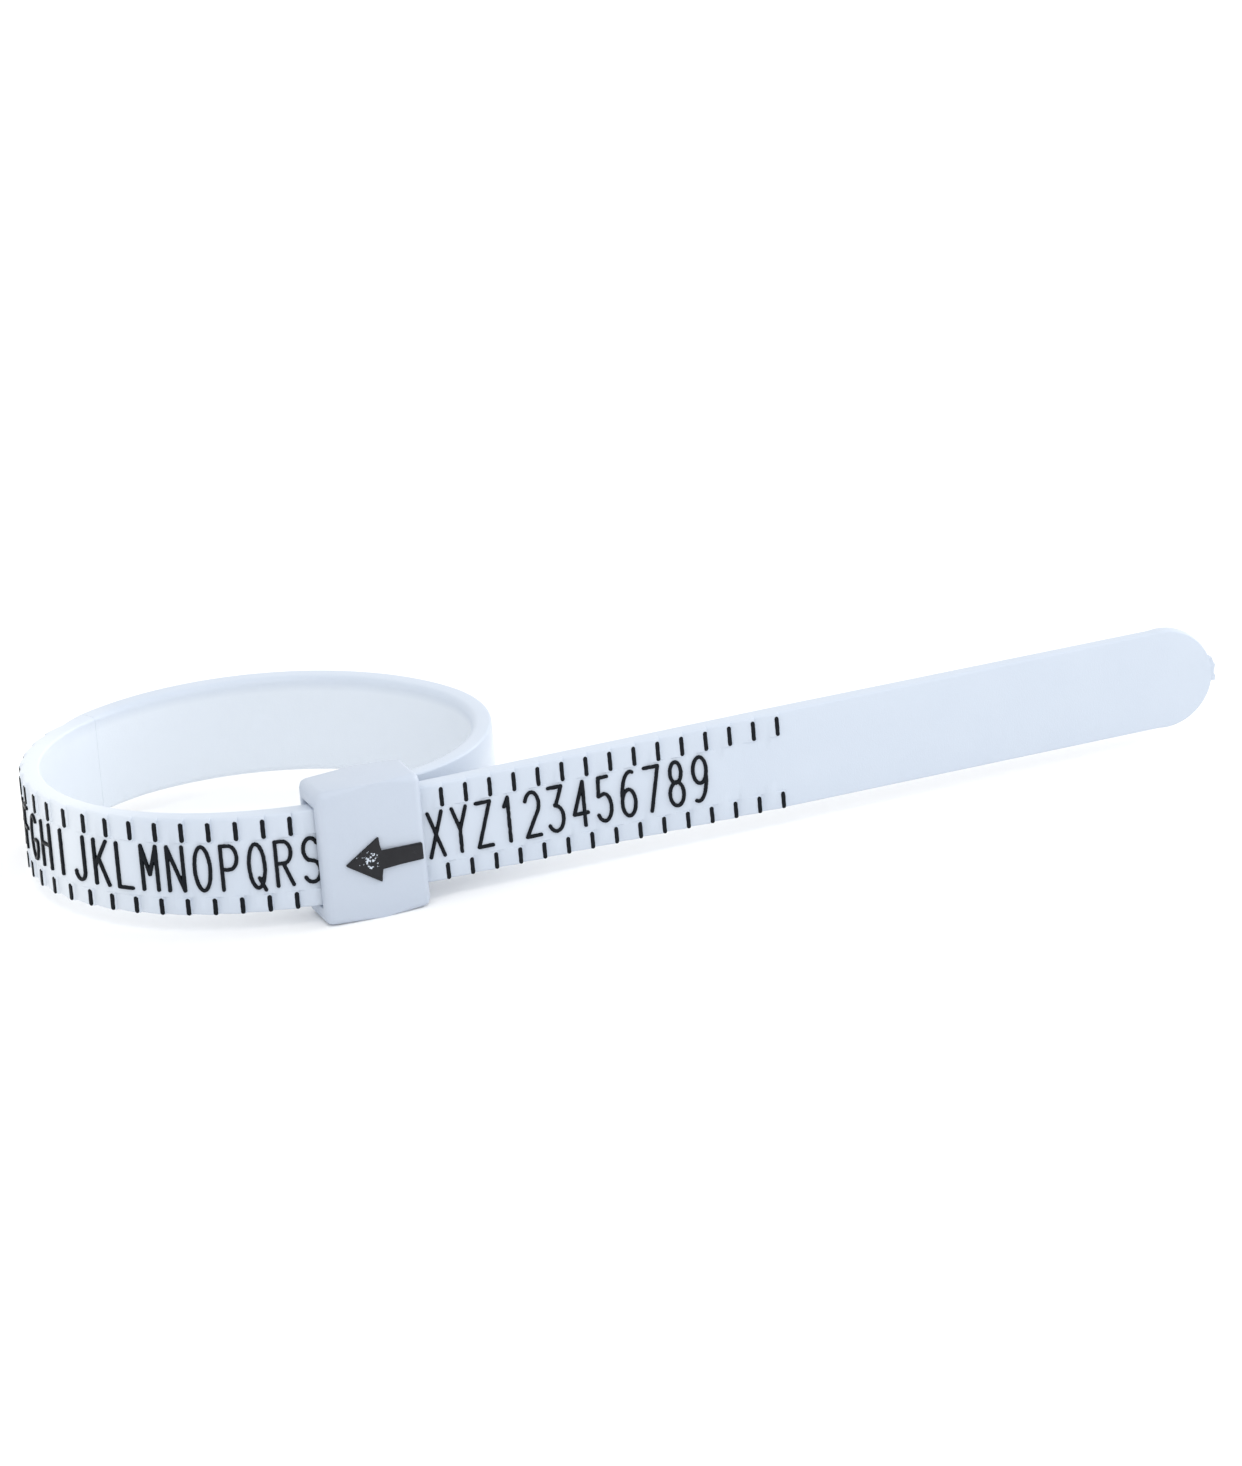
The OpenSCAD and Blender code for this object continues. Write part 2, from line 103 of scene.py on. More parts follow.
class StrapSizes(bpy.types.PropertyGroup):
    """Sizes of the strap and of its curl, in millimetres and degrees."""

    pitch: bpy.props.FloatProperty(
        name="Size pitch", description="Strap travel for one ring size", default=1.2257)
    thickness: bpy.props.FloatProperty(
        name="Thickness", description="Strap thickness at a tooth's crest", default=1.0)
    tooth: bpy.props.FloatProperty(
        name="Tooth depth", description="Depth of a tooth at its root", default=0.14)
    upper_margin: bpy.props.FloatProperty(
        name="Upper margin", description="Width of the toothed margin along the top", default=1.2)
    lower_margin: bpy.props.FloatProperty(
        name="Lower margin", description="Width of the toothed margin along the bottom", default=0.9)
    band_drop: bpy.props.FloatProperty(
        name="Band drop", description="How far the letter band lies below the crests", default=0.08)
    plain_tail: bpy.props.FloatProperty(
        name="Plain tail", description="Length of the tail after its last tooth", default=22.45)
    tip_thickness: bpy.props.FloatProperty(
        name="Tip thickness", description="Strap thickness at the tip of the tail", default=0.6)
    tip_length: bpy.props.FloatProperty(
        name="Tip length", description="Length of the rounded tip", default=2.9)
    edge_radius: bpy.props.FloatProperty(
        name="Edge radius", description="Radius of the strap's long edges", default=0.13)
    soft_radius: bpy.props.FloatProperty(
        name="Soft radius", description="Radius of the inner edges of the plain curl", default=0.36)
    entry_turn: bpy.props.FloatProperty(
        name="Entry turn", description="Turn of the strap at the buckle, in degrees", default=11.5)
    first_turn: bpy.props.FloatProperty(
        name="First turn", description="Turn between the loop's first two cells, in degrees", default=4.2)
    turn_growth: bpy.props.FloatProperty(
        name="Turn growth", description="Growth of the turn from cell to cell, in degrees", default=0.43)
    max_turn: bpy.props.FloatProperty(
        name="Largest turn", description="Largest turn between two cells, in degrees", default=9.0)
    lead_out: bpy.props.FloatProperty(
        name="Lead-out", description="Plain length after the first size", default=1.28)
    arc_balance: bpy.props.FloatProperty(
        name="Arc balance", description="Balance between the loop's right and back arcs", default=0.8)


class MarkSizes(bpy.types.PropertyGroup):
    """Sizes of the raised letters, numbers, ticks and arrow, in millimetres."""

    letter_height: bpy.props.FloatProperty(
        name="Letter height", description="Height of a letter or number", default=2.42)
    letter_width: bpy.props.FloatProperty(
        name="Letter width", description="Width of a letter or number", default=0.89)
    stroke: bpy.props.FloatProperty(
        name="Stroke", description="Width of a stroke", default=0.19)
    tick: bpy.props.FloatProperty(
        name="Tick", description="Width of a tick", default=0.23)
    letter_rise: bpy.props.FloatProperty(
        name="Letter rise", description="How far a letter stands up", default=0.11)
    tick_rise: bpy.props.FloatProperty(
        name="Tick rise", description="How far a tick stands up", default=0.038)
    arrow_rise: bpy.props.FloatProperty(
        name="Arrow rise", description="How far the arrow stands up", default=0.18)


class Finishes(bpy.types.PropertyGroup):
    """Colours of the plastic, the print and the floor, and the painted light on the curl."""

    plastic: bpy.props.FloatVectorProperty(
        name="Plastic", description="Blue-white moulded plastic", subtype="COLOR", size=3,
        default=(0.545, 0.605, 0.69))
    plastic_shade: bpy.props.FloatVectorProperty(
        name="Plastic shade", description="The plastic where it is slightly darker", subtype="COLOR", size=3,
        default=(0.52, 0.58, 0.67))
    # Painted light: a paler colour painted on the back of the curl, standing in for light that shines
    # through the thin plastic there.
    painted_light: bpy.props.FloatVectorProperty(
        name="Lit plastic", description="The curl where light comes through it", subtype="COLOR", size=3,
        default=(0.69, 0.74, 0.80))
    buckle: bpy.props.FloatVectorProperty(
        name="Buckle", description="Thicker plastic of the buckle", subtype="COLOR", size=3,
        default=(0.475, 0.53, 0.615))
    buckle_shade: bpy.props.FloatVectorProperty(
        name="Buckle shade", description="The buckle where it is slightly darker", subtype="COLOR", size=3,
        default=(0.45, 0.505, 0.595))
    print_black: bpy.props.FloatVectorProperty(
        name="Print", description="Black print on the raised marks", subtype="COLOR", size=3,
        default=(0.003, 0.0045, 0.007))
    arrow_grey: bpy.props.FloatVectorProperty(
        name="Arrow print", description="Worn charcoal print on the arrow", subtype="COLOR", size=3,
        default=(0.017, 0.0175, 0.02))
    floor: bpy.props.FloatVectorProperty(
        name="Floor", description="Pale studio floor", subtype="COLOR", size=3, default=(0.95, 0.95, 0.95))


# ---------------------------------------------------------------- the strap's path


def heading(turn):
    """Direction towards the loop, turned by an angle in radians away from the tail's own line."""
    return np.array([-math.cos(turn), math.sin(turn)])


def outward(turn):
    """Direction from the strap's plain inner side to its marked side, for the same turn."""
    return np.array([-math.sin(turn), -math.cos(turn)])


class Track:
    """The strap's inner side seen from above: straight and round runs from the tip to the fixed end."""

    def __init__(self, point):
        self.point, self.turn, self.length, self.runs = np.array(point, float), 0.0, 0.0, []

    def go(self, length, turn=0.0):
        """Adds a run of a length that turns by an angle, and returns the distance at its middle."""
        self.runs.append((self.length, length, self.point, self.turn, turn))
        self.point = self._along(self.runs[-1], length)[0]
        self.turn += turn
        self.length += length
        return self.length - length / 2

    @staticmethod
    def _along(run, distance):
        _, length, point, turn, bend = run
        if abs(bend) < 1e-9:
            return point + distance * heading(turn), turn
        radius, now = length / bend, turn + bend * distance / length
        return point + radius * (outward(now) - outward(turn)), now

    def at(self, s):
        """The point at distance s and the turn there."""
        run = self.runs[0]
        for r in self.runs:
            if r[0] <= s:
                run = r
        return self._along(run, s - run[0])

    def place(self, s, z, depth):
        """A point of the strap: s along it, z up, depth out from its inner side."""
        p, turn = self.at(s)
        q = p + depth * outward(turn)
        return (q[0] * MM, q[1] * MM, z * MM)


def cell_turn(sizes, k):
    """Turn between cell k and the one before it, in radians."""
    if k < 0:
        return 0.0
    if k == 0:
        return math.radians(sizes.entry_turn)
    return math.radians(min(sizes.first_turn + sizes.turn_growth * (k - 1), sizes.max_turn))


class Strap:
    """The whole strap: its track, and the distance of every tick and fold along it."""

    def __init__(self, sizes):
        self.sizes = sizes
        lo, hi = box_mm("tail")
        self.tip_x = hi.x - GATE_LENGTH
        fold = JOINTS["fold_s"]["pos_m"]
        self.entry_x, self.inner_y = fold[0] / MM, fold[1] / MM
        self.mid_z = fold[2] / MM
        self.width = hi.z - lo.z
        self.track = Track((self.tip_x, self.inner_y))
        self._toothed_runs()
        self._plain_runs()

    def _toothed_runs(self):
        pitch, track = self.sizes.pitch, self.track
        self.ticks = {}
        tail_cells = round((self.tip_x - self.sizes.plain_tail - self.entry_x) / pitch)
        for k in range(1, tail_cells + 1):
            self.ticks[-k] = self.tip_x - self.entry_x - k * pitch
        self.teeth_start = self.ticks[-tail_cells]
        track.go(self.tip_x - self.entry_x - pitch / 2)
        for k in range(len(LOOP_MARKS)):
            turn = cell_turn(self.sizes, k)
            self.ticks[k] = track.go(turn * pitch / 2 / math.tan(turn / 2), turn)
        track.go(pitch / 2)
        self.teeth_end = track.length
        self.ticks[len(LOOP_MARKS)] = track.length

    def _plain_runs(self):
        sizes, track = self.sizes, self.track
        turn = cell_turn(sizes, len(LOOP_MARKS) - 1) * sizes.lead_out / sizes.pitch
        track.go(sizes.lead_out * turn / 2 / math.sin(turn / 2), turn)
        self.pivot = track.length
        self.root_left = box_mm("strap_root")[0].x
        start = np.array([ROOT_X, box_mm("buckle_back")[1].y + ROOT_DEPTH])
        way = np.array([1.0, 0.0])
        end, back = track.point, -heading(track.turn)
        span = end - start
        a = 2 * sizes.arc_balance * (way @ back - 1)
        b = -2 * (sizes.arc_balance * (span @ way) + span @ back)
        arm = (-b - math.sqrt(b * b - 4 * a * (span @ span))) / (2 * a)
        knee_1 = start + sizes.arc_balance * arm * way
        knee_2 = end - arm * back
        meet = knee_1 + (knee_2 - knee_1) * sizes.arc_balance / (1 + sizes.arc_balance)
        meet_turn = 2 * math.atan2(meet[1] - start[1], meet[0] - start[0])
        right_r = ((meet - start) @ (meet - start)) / (2 * (meet[1] - start[1]))
        back_turn = 2 * math.pi - track.turn - meet_turn
        back_r = np.linalg.norm(end - meet) / (2 * math.sin(back_turn / 2))
        track.go(back_r * back_turn, back_turn)
        track.go(right_r * meet_turn, meet_turn)
        self.root = track.length
        track.go(ROOT_X - self.root_left)
        self.end = track.length
        joints = [JOINTS[f"fold_plain_{n}"]["pos_m"] for n in range(1, 6)]
        self.plain_folds = [self.nearest(p[0] / MM, p[1] / MM, self.pivot + 0.5, self.root) for p in joints]

    def nearest(self, x, y, low, high):
        """The distance along the track, between two others, that lies nearest a point seen from above."""
        steps = np.linspace(low, high, 4001)
        gaps = [np.hypot(*(self.track.at(s)[0] - (x, y))) for s in steps]
        return float(steps[int(np.argmin(gaps))])

    def stretches(self):
        """Each body with the distances at which it starts and ends, from the tip to the fixed end."""
        cuts = {"tail": 0.0, "cell_s": self.ticks[0], "cells_qr": self.ticks[1], "cell_p": self.ticks[3],
                "cells_mno": self.ticks[4], "cells_jkl": self.ticks[7],
                "cells_ghi": self.ticks[10], "cells_def": self.ticks[13], "cells_abc": self.ticks[16]}
        for n in range(5, 0, -1):
            cuts[f"plain_link_{n}"] = self.pivot if n == 5 else self.plain_folds[n]
        cuts["root"] = self.plain_folds[0]
        names, starts = list(cuts), list(cuts.values()) + [self.end]
        return [(name, starts[i], starts[i + 1]) for i, name in enumerate(names)]

    def tooth_drop(self, s):
        """How far the toothed margins lie below the crests at distance s."""
        sizes, land = self.sizes, mark_sizes().tick
        s += land / 2
        if s < self.teeth_start - 1e-6:
            return sizes.band_drop
        if s >= self.teeth_end - 1e-6:
            ease = min(1.0, (s - self.teeth_end) / (self.pivot - self.teeth_end))
            return sizes.tooth * (1 - ease)
        start = max(t for t in self.ticks.values() if t <= s + 1e-9)
        stop = min(t for t in self.ticks.values() if t > s + 1e-9)
        return sizes.tooth * max(0.0, (s - start - land) / (stop - start - land))

    def band_drop(self, s):
        """How far the letter band lies below the crests at distance s."""
        if s <= self.teeth_end:
            return self.sizes.band_drop
        return self.sizes.band_drop * max(0.0, 1 - (s - self.teeth_end) / (self.pivot - self.teeth_end))

    def inner_lift(self, s):
        """How far the inner side has moved out where the tail thins towards its tip."""
        sizes = self.sizes
        thin = sizes.thickness - sizes.band_drop - sizes.tip_thickness
        return thin * max(0.0, 1 - s / sizes.plain_tail)

    def half_width(self, s):
        """Half the strap's width at distance s, rounded off at the tip."""
        half, tip = self.width / 2, self.sizes.tip_length
        if s >= tip:
            return half
        radius = (tip * tip + half * half) / (2 * tip)
        return math.sqrt(max(0.0, radius * radius - (radius - s) ** 2))


def strap_sizes():
    return bpy.context.scene.ring_sizer_strap


def mark_sizes():
    return bpy.context.scene.ring_sizer_marks


def finish_colours():
    return bpy.context.scene.ring_sizer_finishes


# ---------------------------------------------------------------- mesh helpers


def new_object(name, verts, faces, material, sharp=35.0):
    """Makes a smooth-shaded mesh object whose edges over a given angle stay sharp."""
    mesh = bpy.data.meshes.new(name)
    mesh.from_pydata(verts, [], faces)
    mesh.validate()
    work = bmesh.new()
    work.from_mesh(mesh)
    bmesh.ops.recalc_face_normals(work, faces=work.faces)
    work.to_mesh(mesh)
    work.free()
    mesh.polygons.foreach_set("use_smooth", [True] * len(mesh.polygons))
    mesh.set_sharp_from_angle(angle=math.radians(sharp))
    obj = bpy.data.objects.new(name, mesh)
    bpy.context.collection.objects.link(obj)
    obj.data.materials.append(material)
    return obj


def loft(rings):
    """Vertices and faces of a closed tube through rings of equal length, with its two ends capped."""
    n = len(rings[0])
    verts = [p for ring in rings for p in ring]
    faces = [(i * n + j, i * n + (j + 1) % n, (i + 1) * n + (j + 1) % n, (i + 1) * n + j)
             for i in range(len(rings) - 1) for j in range(n)]
    faces.append(tuple(range(n)))
    faces.append(tuple((len(rings) - 1) * n + j for j in range(n)))
    return verts, faces


# ---------------------------------------------------------------- the strap's skin

STEP_HALF = 0.025     # half the length over which the moulding steps from one level to the next
SKIN_INSET = 0.002    # keeps the crests just inside the CAD model
TIP_STEPS = 24        # facets of the rounded tip
TIP_FLAT = 0.01       # length left flat at its very end
PIVOT_GAP = 0.012     # clear length at the open pivot, which closes up as the strap slides
TENON_LENGTH = 0.035  # how far the tenon reaches past that gap's near side
TENON_INSET = 0.009   # how far the tenon lies inside the strap's outline
CORNER_STEPS = 5      # facets round each long edge
SOFT_RUN = 4.0        # length over which the inner edges grow softer past the last tooth


def section(strap, s):
    """The strap's outline across its width at distance s, as (height, depth) pairs."""
    sizes = strap.sizes
    half = strap.half_width(s)
    squeeze = half / (strap.width / 2)
    top = sizes.thickness - SKIN_INSET - strap.tooth_drop(s)
    band = sizes.thickness - strap.band_drop(s)
    low = strap.inner_lift(s)
    r = min(sizes.edge_radius, (top - low) * 0.45)
    edge = strap.width / 2
    outline = []

    soft = r + (sizes.soft_radius - r) * min(1.0, max(0.0, (s - strap.teeth_end) / SOFT_RUN))

    def corner(z, depth, start, radius=r):
        for i in range(CORNER_STEPS + 1):
            a = math.radians(start + 90 * i / CORNER_STEPS)
            outline.append((z + radius * math.cos(a), depth + radius * math.sin(a)))

    corner(-edge + soft, low + soft, 180, soft)
    for z in (-edge / 3, 0.0, edge / 3, edge * 0.7):
        outline.append((z, low))
    corner(edge - soft, low + soft, 270, soft)
    corner(edge - r, top - r, 0)
    upper, lower = edge - sizes.upper_margin, -edge + sizes.lower_margin
    outline += [(upper + STEP_HALF, top), (upper - STEP_HALF, band)]
    outline += [(lower + (upper - lower) * f, band) for f in (0.75, 0.5, 0.25)]
    outline += [(lower + STEP_HALF, band), (lower - STEP_HALF, top)]
    corner(-edge + r, top - r, 90)
    return [(strap.mid_z + z * squeeze, depth) for z, depth in outline]


def samples(strap, s0, s1, step=0.22):
    """Distances from s0 to s1, close enough for the curl and with both sides of every tooth."""
    picks = {s0, s1}
    picks.update(np.arange(s0 + step, s1 - step / 3, step))
    half = mark_sizes().tick / 2
    ticks = [t - half for t in sorted(strap.ticks.values())]
    for t in ticks:
        for offset in (-STEP_HALF, STEP_HALF, 2 * half):
            if s0 < t + offset < s1:
                picks.add(t + offset)
    if s0 < strap.sizes.tip_length:
        eases = [1 - math.cos(math.pi / 2 * i / TIP_STEPS) for i in range(TIP_STEPS)]
        picks.update(strap.sizes.tip_length * ease + TIP_FLAT for ease in eases)
        picks.discard(0.0)
    picks = sorted(picks)
    kept = [picks[0]]
    for s in picks[1:-1]:
        near_tick = any(abs(s - t - o) < 1e-6 for t in ticks for o in (-STEP_HALF, STEP_HALF, 2 * half))
        if near_tick or min(abs(s - t) for t in ticks) > STEP_HALF * 1.6 and s - kept[-1] > 0.004:
            kept.append(s)
    return kept + [picks[-1]]


def tenon(strap, s):
    """Two rings of a short tenon, inside the strap's outline, that fills the gap at the open pivot."""
    outline = section(strap, s)
    mid_depth = strap.sizes.thickness / 2
    inner = [(strap.mid_z + (z - strap.mid_z) * (1 - TENON_INSET / strap.half_width(s)),
              mid_depth + (depth - mid_depth) * (1 - TENON_INSET / mid_depth)) for z, depth in outline]
    return [[strap.track.place(at, z, depth) for z, depth in inner] for at in (s - TENON_LENGTH, s)]


def strap_skin(strap, name, s0, s1, tenoned=False):
    """One closed stretch of the strap's moulding from s0 to s1, with a tenon at s0 if asked."""
    rings = tenon(strap, s0) if tenoned else []
    rings += [[strap.track.place(s, z, depth) for z, depth in section(strap, s)]
              for s in samples(strap, s0, s1)]
    verts, faces = loft(rings)
    skin = new_object(name, verts, faces, material("strap plastic"), sharp=28.0)
    # Painted light: each point's share of the paler painted colour, from its place on the curl.
    painted_light = skin.data.attributes.new("painted_light", "FLOAT", "POINT")
    painted_light.data.foreach_set("value", [painted_light_through(p) for p in verts])
    return skin


def painted_light_through(point):
    """How much painted light goes on the strap at a point, standing in for light coming through it: most at
    the back of the curl, below its rim.
    """
    x, y, z = (c / MM for c in point)
    ramps = ((y - 2.0) / 5.0, (z - 5.1) / 0.6, (x + 11.0) / 5.0)
    behind, rim, right = (min(1.0, max(0.0, ramp)) for ramp in ramps)
    return behind * (1 - rim * right)


class RINGSIZER_OT_strap(bpy.types.Operator):
    """Moulds the strap in stretches that run across the folds of the CAD frame"""

    bl_idname = "ring_sizer.strap"
    bl_label = "Mould the strap"

    def execute(self, context):
        strap = Strap(strap_sizes())
        parts = strap.stretches()
        middles = {name: (s0 + s1) / 2 for name, s0, s1 in parts}
        middles["tail"] = strap.ticks[0] - strap.sizes.pitch / 2
        for i, (name, s0, s1) in enumerate(parts):
            first, last = i == 0, i == len(parts) - 1
            node = "strap_root" if name == "root" else name
            if first or name == "plain_link_5":
                piece = strap_skin(strap, f"strap_{name}_free", s0, middles[name], tenoned=not first)
                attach(piece, name)
                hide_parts(node)
            if last or name == "cells_abc":
                piece = strap_skin(strap, f"strap_{name}_free", middles[name], s1 - PIVOT_GAP)
                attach(piece, name)
                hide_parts(node)
                continue
            after = parts[i + 1][0]
            piece = strap_skin(strap, f"strap_{name}_to_{after}", middles[name], middles[after])
            reach = 0.75 * min(s1 - middles[name], middles[after] - s1)
            start = strap.track.place(s1 - reach, strap.mid_z, 0.0)
            end = strap.track.place(s1 + reach, strap.mid_z, 0.0)
            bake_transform(piece)
            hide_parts(node)
        gate_stub(strap)
        return {"FINISHED"}


def gate_stub(strap):
    """The torn moulding gate left on the tip of the tail."""
    sizes = strap.sizes
    low = strap.inner_lift(0.0)
    high = sizes.thickness - sizes.band_drop
    ragged = (0.20, 0.27, 0.16, 0.24, 0.29, 0.19, 0.12)
    rings = []
    for i, reach in enumerate(ragged):
        z = strap.mid_z + 0.58 * (2 * i / (len(ragged) - 1) - 1)
        inset = 0.05 + 0.04 * ((i * 3) % 2)
        rings.append([strap.track.place(s, z, d) for s, d in
                      ((0.3, low + inset), (-reach * 0.7, low + inset), (-reach, (low + high) / 2),
                       (-reach * 0.8, high - inset), (0.3, high - inset))])
    verts, faces = loft(rings)
    stub = new_object("gate_stub", verts, faces, material("strap plastic"))
    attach(stub, "tail")


# ---------------------------------------------------------------- letters, numbers and ticks


def bow(cx, cy, rx, ry, start, stop, steps=12):
    """Points of an elliptic arc between two angles in degrees."""
    angles = [math.radians(start + (stop - start) * i / steps) for i in range(steps + 1)]
    return [(cx + rx * math.cos(a), cy + ry * math.sin(a)) for a in angles]


# Strokes of each letter and number, in a box one wide and one high.
GLYPHS = {
    "A": [[(0, 0), (0.5, 1), (1, 0)], [(0.2, 0.34), (0.8, 0.34)]],
    "B": [[(0, 0), (0, 1)], [(0, 1), *bow(0.5, 0.76, 0.42, 0.24, 90, -90), (0, 0.52)],
          [(0, 0.52), *bow(0.5, 0.26, 0.5, 0.26, 90, -90), (0, 0)]],
    "C": [bow(0.52, 0.5, 0.52, 0.5, 50, 310)],
    "D": [[(0, 0), (0, 1)], [(0, 1), *bow(0.35, 0.5, 0.65, 0.5, 90, -90), (0, 0)]],
    "E": [[(0.95, 1), (0, 1), (0, 0), (0.95, 0)], [(0, 0.52), (0.8, 0.52)]],
    "F": [[(0.95, 1), (0, 1), (0, 0)], [(0, 0.52), (0.8, 0.52)]],
    "G": [[*bow(0.52, 0.5, 0.52, 0.5, 50, 330), (0.98, 0.44), (0.55, 0.44)]],
    "H": [[(0, 0), (0, 1)], [(1, 0), (1, 1)], [(0, 0.52), (1, 0.52)]],
    "I": [[(0.5, 0), (0.5, 1)]],
    "J": [[(0.85, 1), *bow(0.45, 0.22, 0.4, 0.22, 0, -170)]],
    "K": [[(0, 0), (0, 1)], [(0.95, 1), (0.05, 0.42)], [(0.3, 0.6), (1, 0)]],
    "L": [[(0, 1), (0, 0), (0.95, 0)]],
    "M": [[(0, 0), (0, 1), (0.5, 0.35), (1, 1), (1, 0)]],
    "N": [[(0, 0), (0, 1), (1, 0), (1, 1)]],
    "O": [bow(0.5, 0.5, 0.5, 0.5, 90, 450, 24)],
    "P": [[(0, 0), (0, 1)], [(0, 1), *bow(0.5, 0.73, 0.5, 0.27, 90, -90), (0, 0.46)]],
    "Q": [bow(0.5, 0.5, 0.5, 0.5, 90, 450, 24), [(0.6, 0.22), (0.95, -0.06)]],
    "R": [[(0, 0), (0, 1)], [(0, 1), *bow(0.5, 0.75, 0.48, 0.25, 90, -90), (0, 0.5)], [(0.45, 0.5), (1, 0)]],
    "S": [[*bow(0.5, 0.745, 0.45, 0.255, 30, 250), *bow(0.5, 0.245, 0.5, 0.245, 70, -150)]],
    "T": [[(0, 1), (1, 1)], [(0.5, 1), (0.5, 0)]],
    "U": [[(0, 1), *bow(0.5, 0.3, 0.5, 0.3, 180, 360), (1, 1)]],
    "V": [[(0, 1), (0.5, 0), (1, 1)]],
    "W": [[(0, 1), (0.25, 0), (0.5, 0.7), (0.75, 0), (1, 1)]],
    "X": [[(0, 0), (1, 1)], [(0, 1), (1, 0)]],
    "Y": [[(0, 1), (0.5, 0.5), (1, 1)], [(0.5, 0.5), (0.5, 0)]],
    "Z": [[(0, 1), (1, 1), (0, 0), (1, 0)]],
    "1": [[(0.25, 0.8), (0.55, 1), (0.55, 0)]],
    "2": [[*bow(0.5, 0.72, 0.5, 0.28, 160, -30), (0, 0), (1, 0)]],
    "3": [[(0, 1), (0.95, 1), (0.45, 0.58)], [(0.42, 0.6), *bow(0.42, 0.29, 0.55, 0.29, 90, -150)]],
    "4": [[(0.75, 0), (0.75, 1), (0, 0.28), (1, 0.28)]],
    "5": [[(0.78, 1), (0.15, 1), (0.08, 0.58), *bow(0.45, 0.31, 0.52, 0.31, 110, -150)]],
    "6": [bow(0.7, 0.4, 0.66, 0.6, 75, 175), bow(0.5, 0.3, 0.48, 0.3, 160, 520, 24)],
    "7": [[(0, 1), (1, 1), (0.35, 0)]],
    "8": [bow(0.5, 0.76, 0.4, 0.24, 90, 450, 24), bow(0.5, 0.27, 0.5, 0.27, 90, 450, 24)],
    "9": [bow(0.3, 0.6, 0.66, 0.6, -105, -5), bow(0.5, 0.7, 0.48, 0.3, -20, 340, 24)],
}
PAD_GRID = 0.028      # grid step of a raised pad
PAD_EDGE = 0.04       # width of its rounded edge
PAD_ROOT = 0.03       # how far it is sunk into the plastic
LETTER_SHIFT = 0.02   # how far a letter reaches past its cell's tick, towards the tail
TICK_TRIM = 0.008     # how much narrower a tick's half is at its rounded rim
TICK_RIM = 0.17       # clear height above an upper tick
TICK_GAP = 0.03       # clear height between an upper tick and the letter band
TICK_END = 0.02       # clear height at both ends of a lower tick


def stroke_distance(points, strokes):
    """Distance from each point to the nearest of the strokes, and the nearest point itself."""
    best = np.full(len(points), 1e9)
    near = np.zeros_like(points)
    for stroke in strokes:
        for a, b in zip(stroke[:-1], stroke[1:]):
            a, b = np.array(a), np.array(b)
            d = b - a
            t = np.clip(((points - a) @ d) / max(d @ d, 1e-12), 0, 1)
            q = a + t[:, None] * d
            gap = np.linalg.norm(points - q, axis=1)
            closer = gap < best
            best[closer], near[closer] = gap[closer], q[closer]
    return best, near


def wobble(points, seed):
    """A small unevenness of a moulded edge, from a few fixed waves."""
    x, y = points[:, 0], points[:, 1]
    return (np.sin(x * 9.1 + seed * 1.7) * np.cos(y * 7.3 + seed * 2.9)
            + 0.6 * np.sin(x * 21.0 - y * 17.0 + seed * 0.9)) / 1.6


def pad(strokes, radius, rise, place, seed):
    """Vertices and faces of one raised pad that covers all the strokes, with a rounded rim."""
    flat = np.array([p for s in strokes for p in s])
    lo, hi = flat.min(0) - radius * 1.6, flat.max(0) + radius * 1.6
    nx, ny = (np.ceil((hi - lo) / PAD_GRID).astype(int) + 1)
    xs, ys = lo[0] + PAD_GRID * np.arange(nx), lo[1] + PAD_GRID * np.arange(ny)
    points = np.stack(np.meshgrid(xs, ys, indexing="ij"), -1).reshape(-1, 2)
    gap, near = stroke_distance(points, strokes)
    reach = radius * (1 + 0.07 * wobble(points, seed))
    keep = gap < reach + 0.62 * PAD_GRID
    out = keep & (gap > reach - 0.25 * PAD_GRID)
    points[out] = near[out] + (points[out] - near[out]) * (reach[out] / np.maximum(gap[out], 1e-9))[:, None]
    depth = np.clip((reach - gap) / PAD_EDGE, 0, 1)
    height = rise * np.sqrt(np.clip(1 - (1 - depth) ** 2, 0, 1))
    height[out] = 0.0
    index = -np.ones(len(points), int)
    index[keep] = np.arange(keep.sum())
    grid = index.reshape(nx, ny)
    quads = [(grid[i, j], grid[i + 1, j], grid[i + 1, j + 1], grid[i, j + 1])
             for i in range(nx - 1) for j in range(ny - 1)]
    quads = [q for q in quads if min(q) >= 0]
    used = sorted({v for q in quads for v in q})
    renumber = {v: i for i, v in enumerate(used)}
    kept_points, kept_height = points[keep][used], height[keep][used]
    n = len(used)
    top = [place(x, y, h) for (x, y), h in zip(kept_points, kept_height)]
    base = [place(x, y, -PAD_ROOT) for x, y in kept_points]
    quads = [tuple(renumber[v] for v in q) for q in quads]
    sides = {}
    for q in quads:
        for a, b in zip(q, q[1:] + q[:1]):
            if (b, a) in sides:
                del sides[(b, a)]
            else:
                sides[(a, b)] = True
    faces = quads + [tuple(v + n for v in reversed(q)) for q in quads]
    faces += [(b, a, a + n, b + n) for a, b in sides]
    return top + base, faces


def letter_strokes(letter, width, height, stroke):
    """A letter's strokes in millimetres, centred on zero."""
    return [[((x - 0.5) * (width - stroke), (y - 0.5) * (height - stroke)) for x, y in line]
            for line in GLYPHS[letter]]


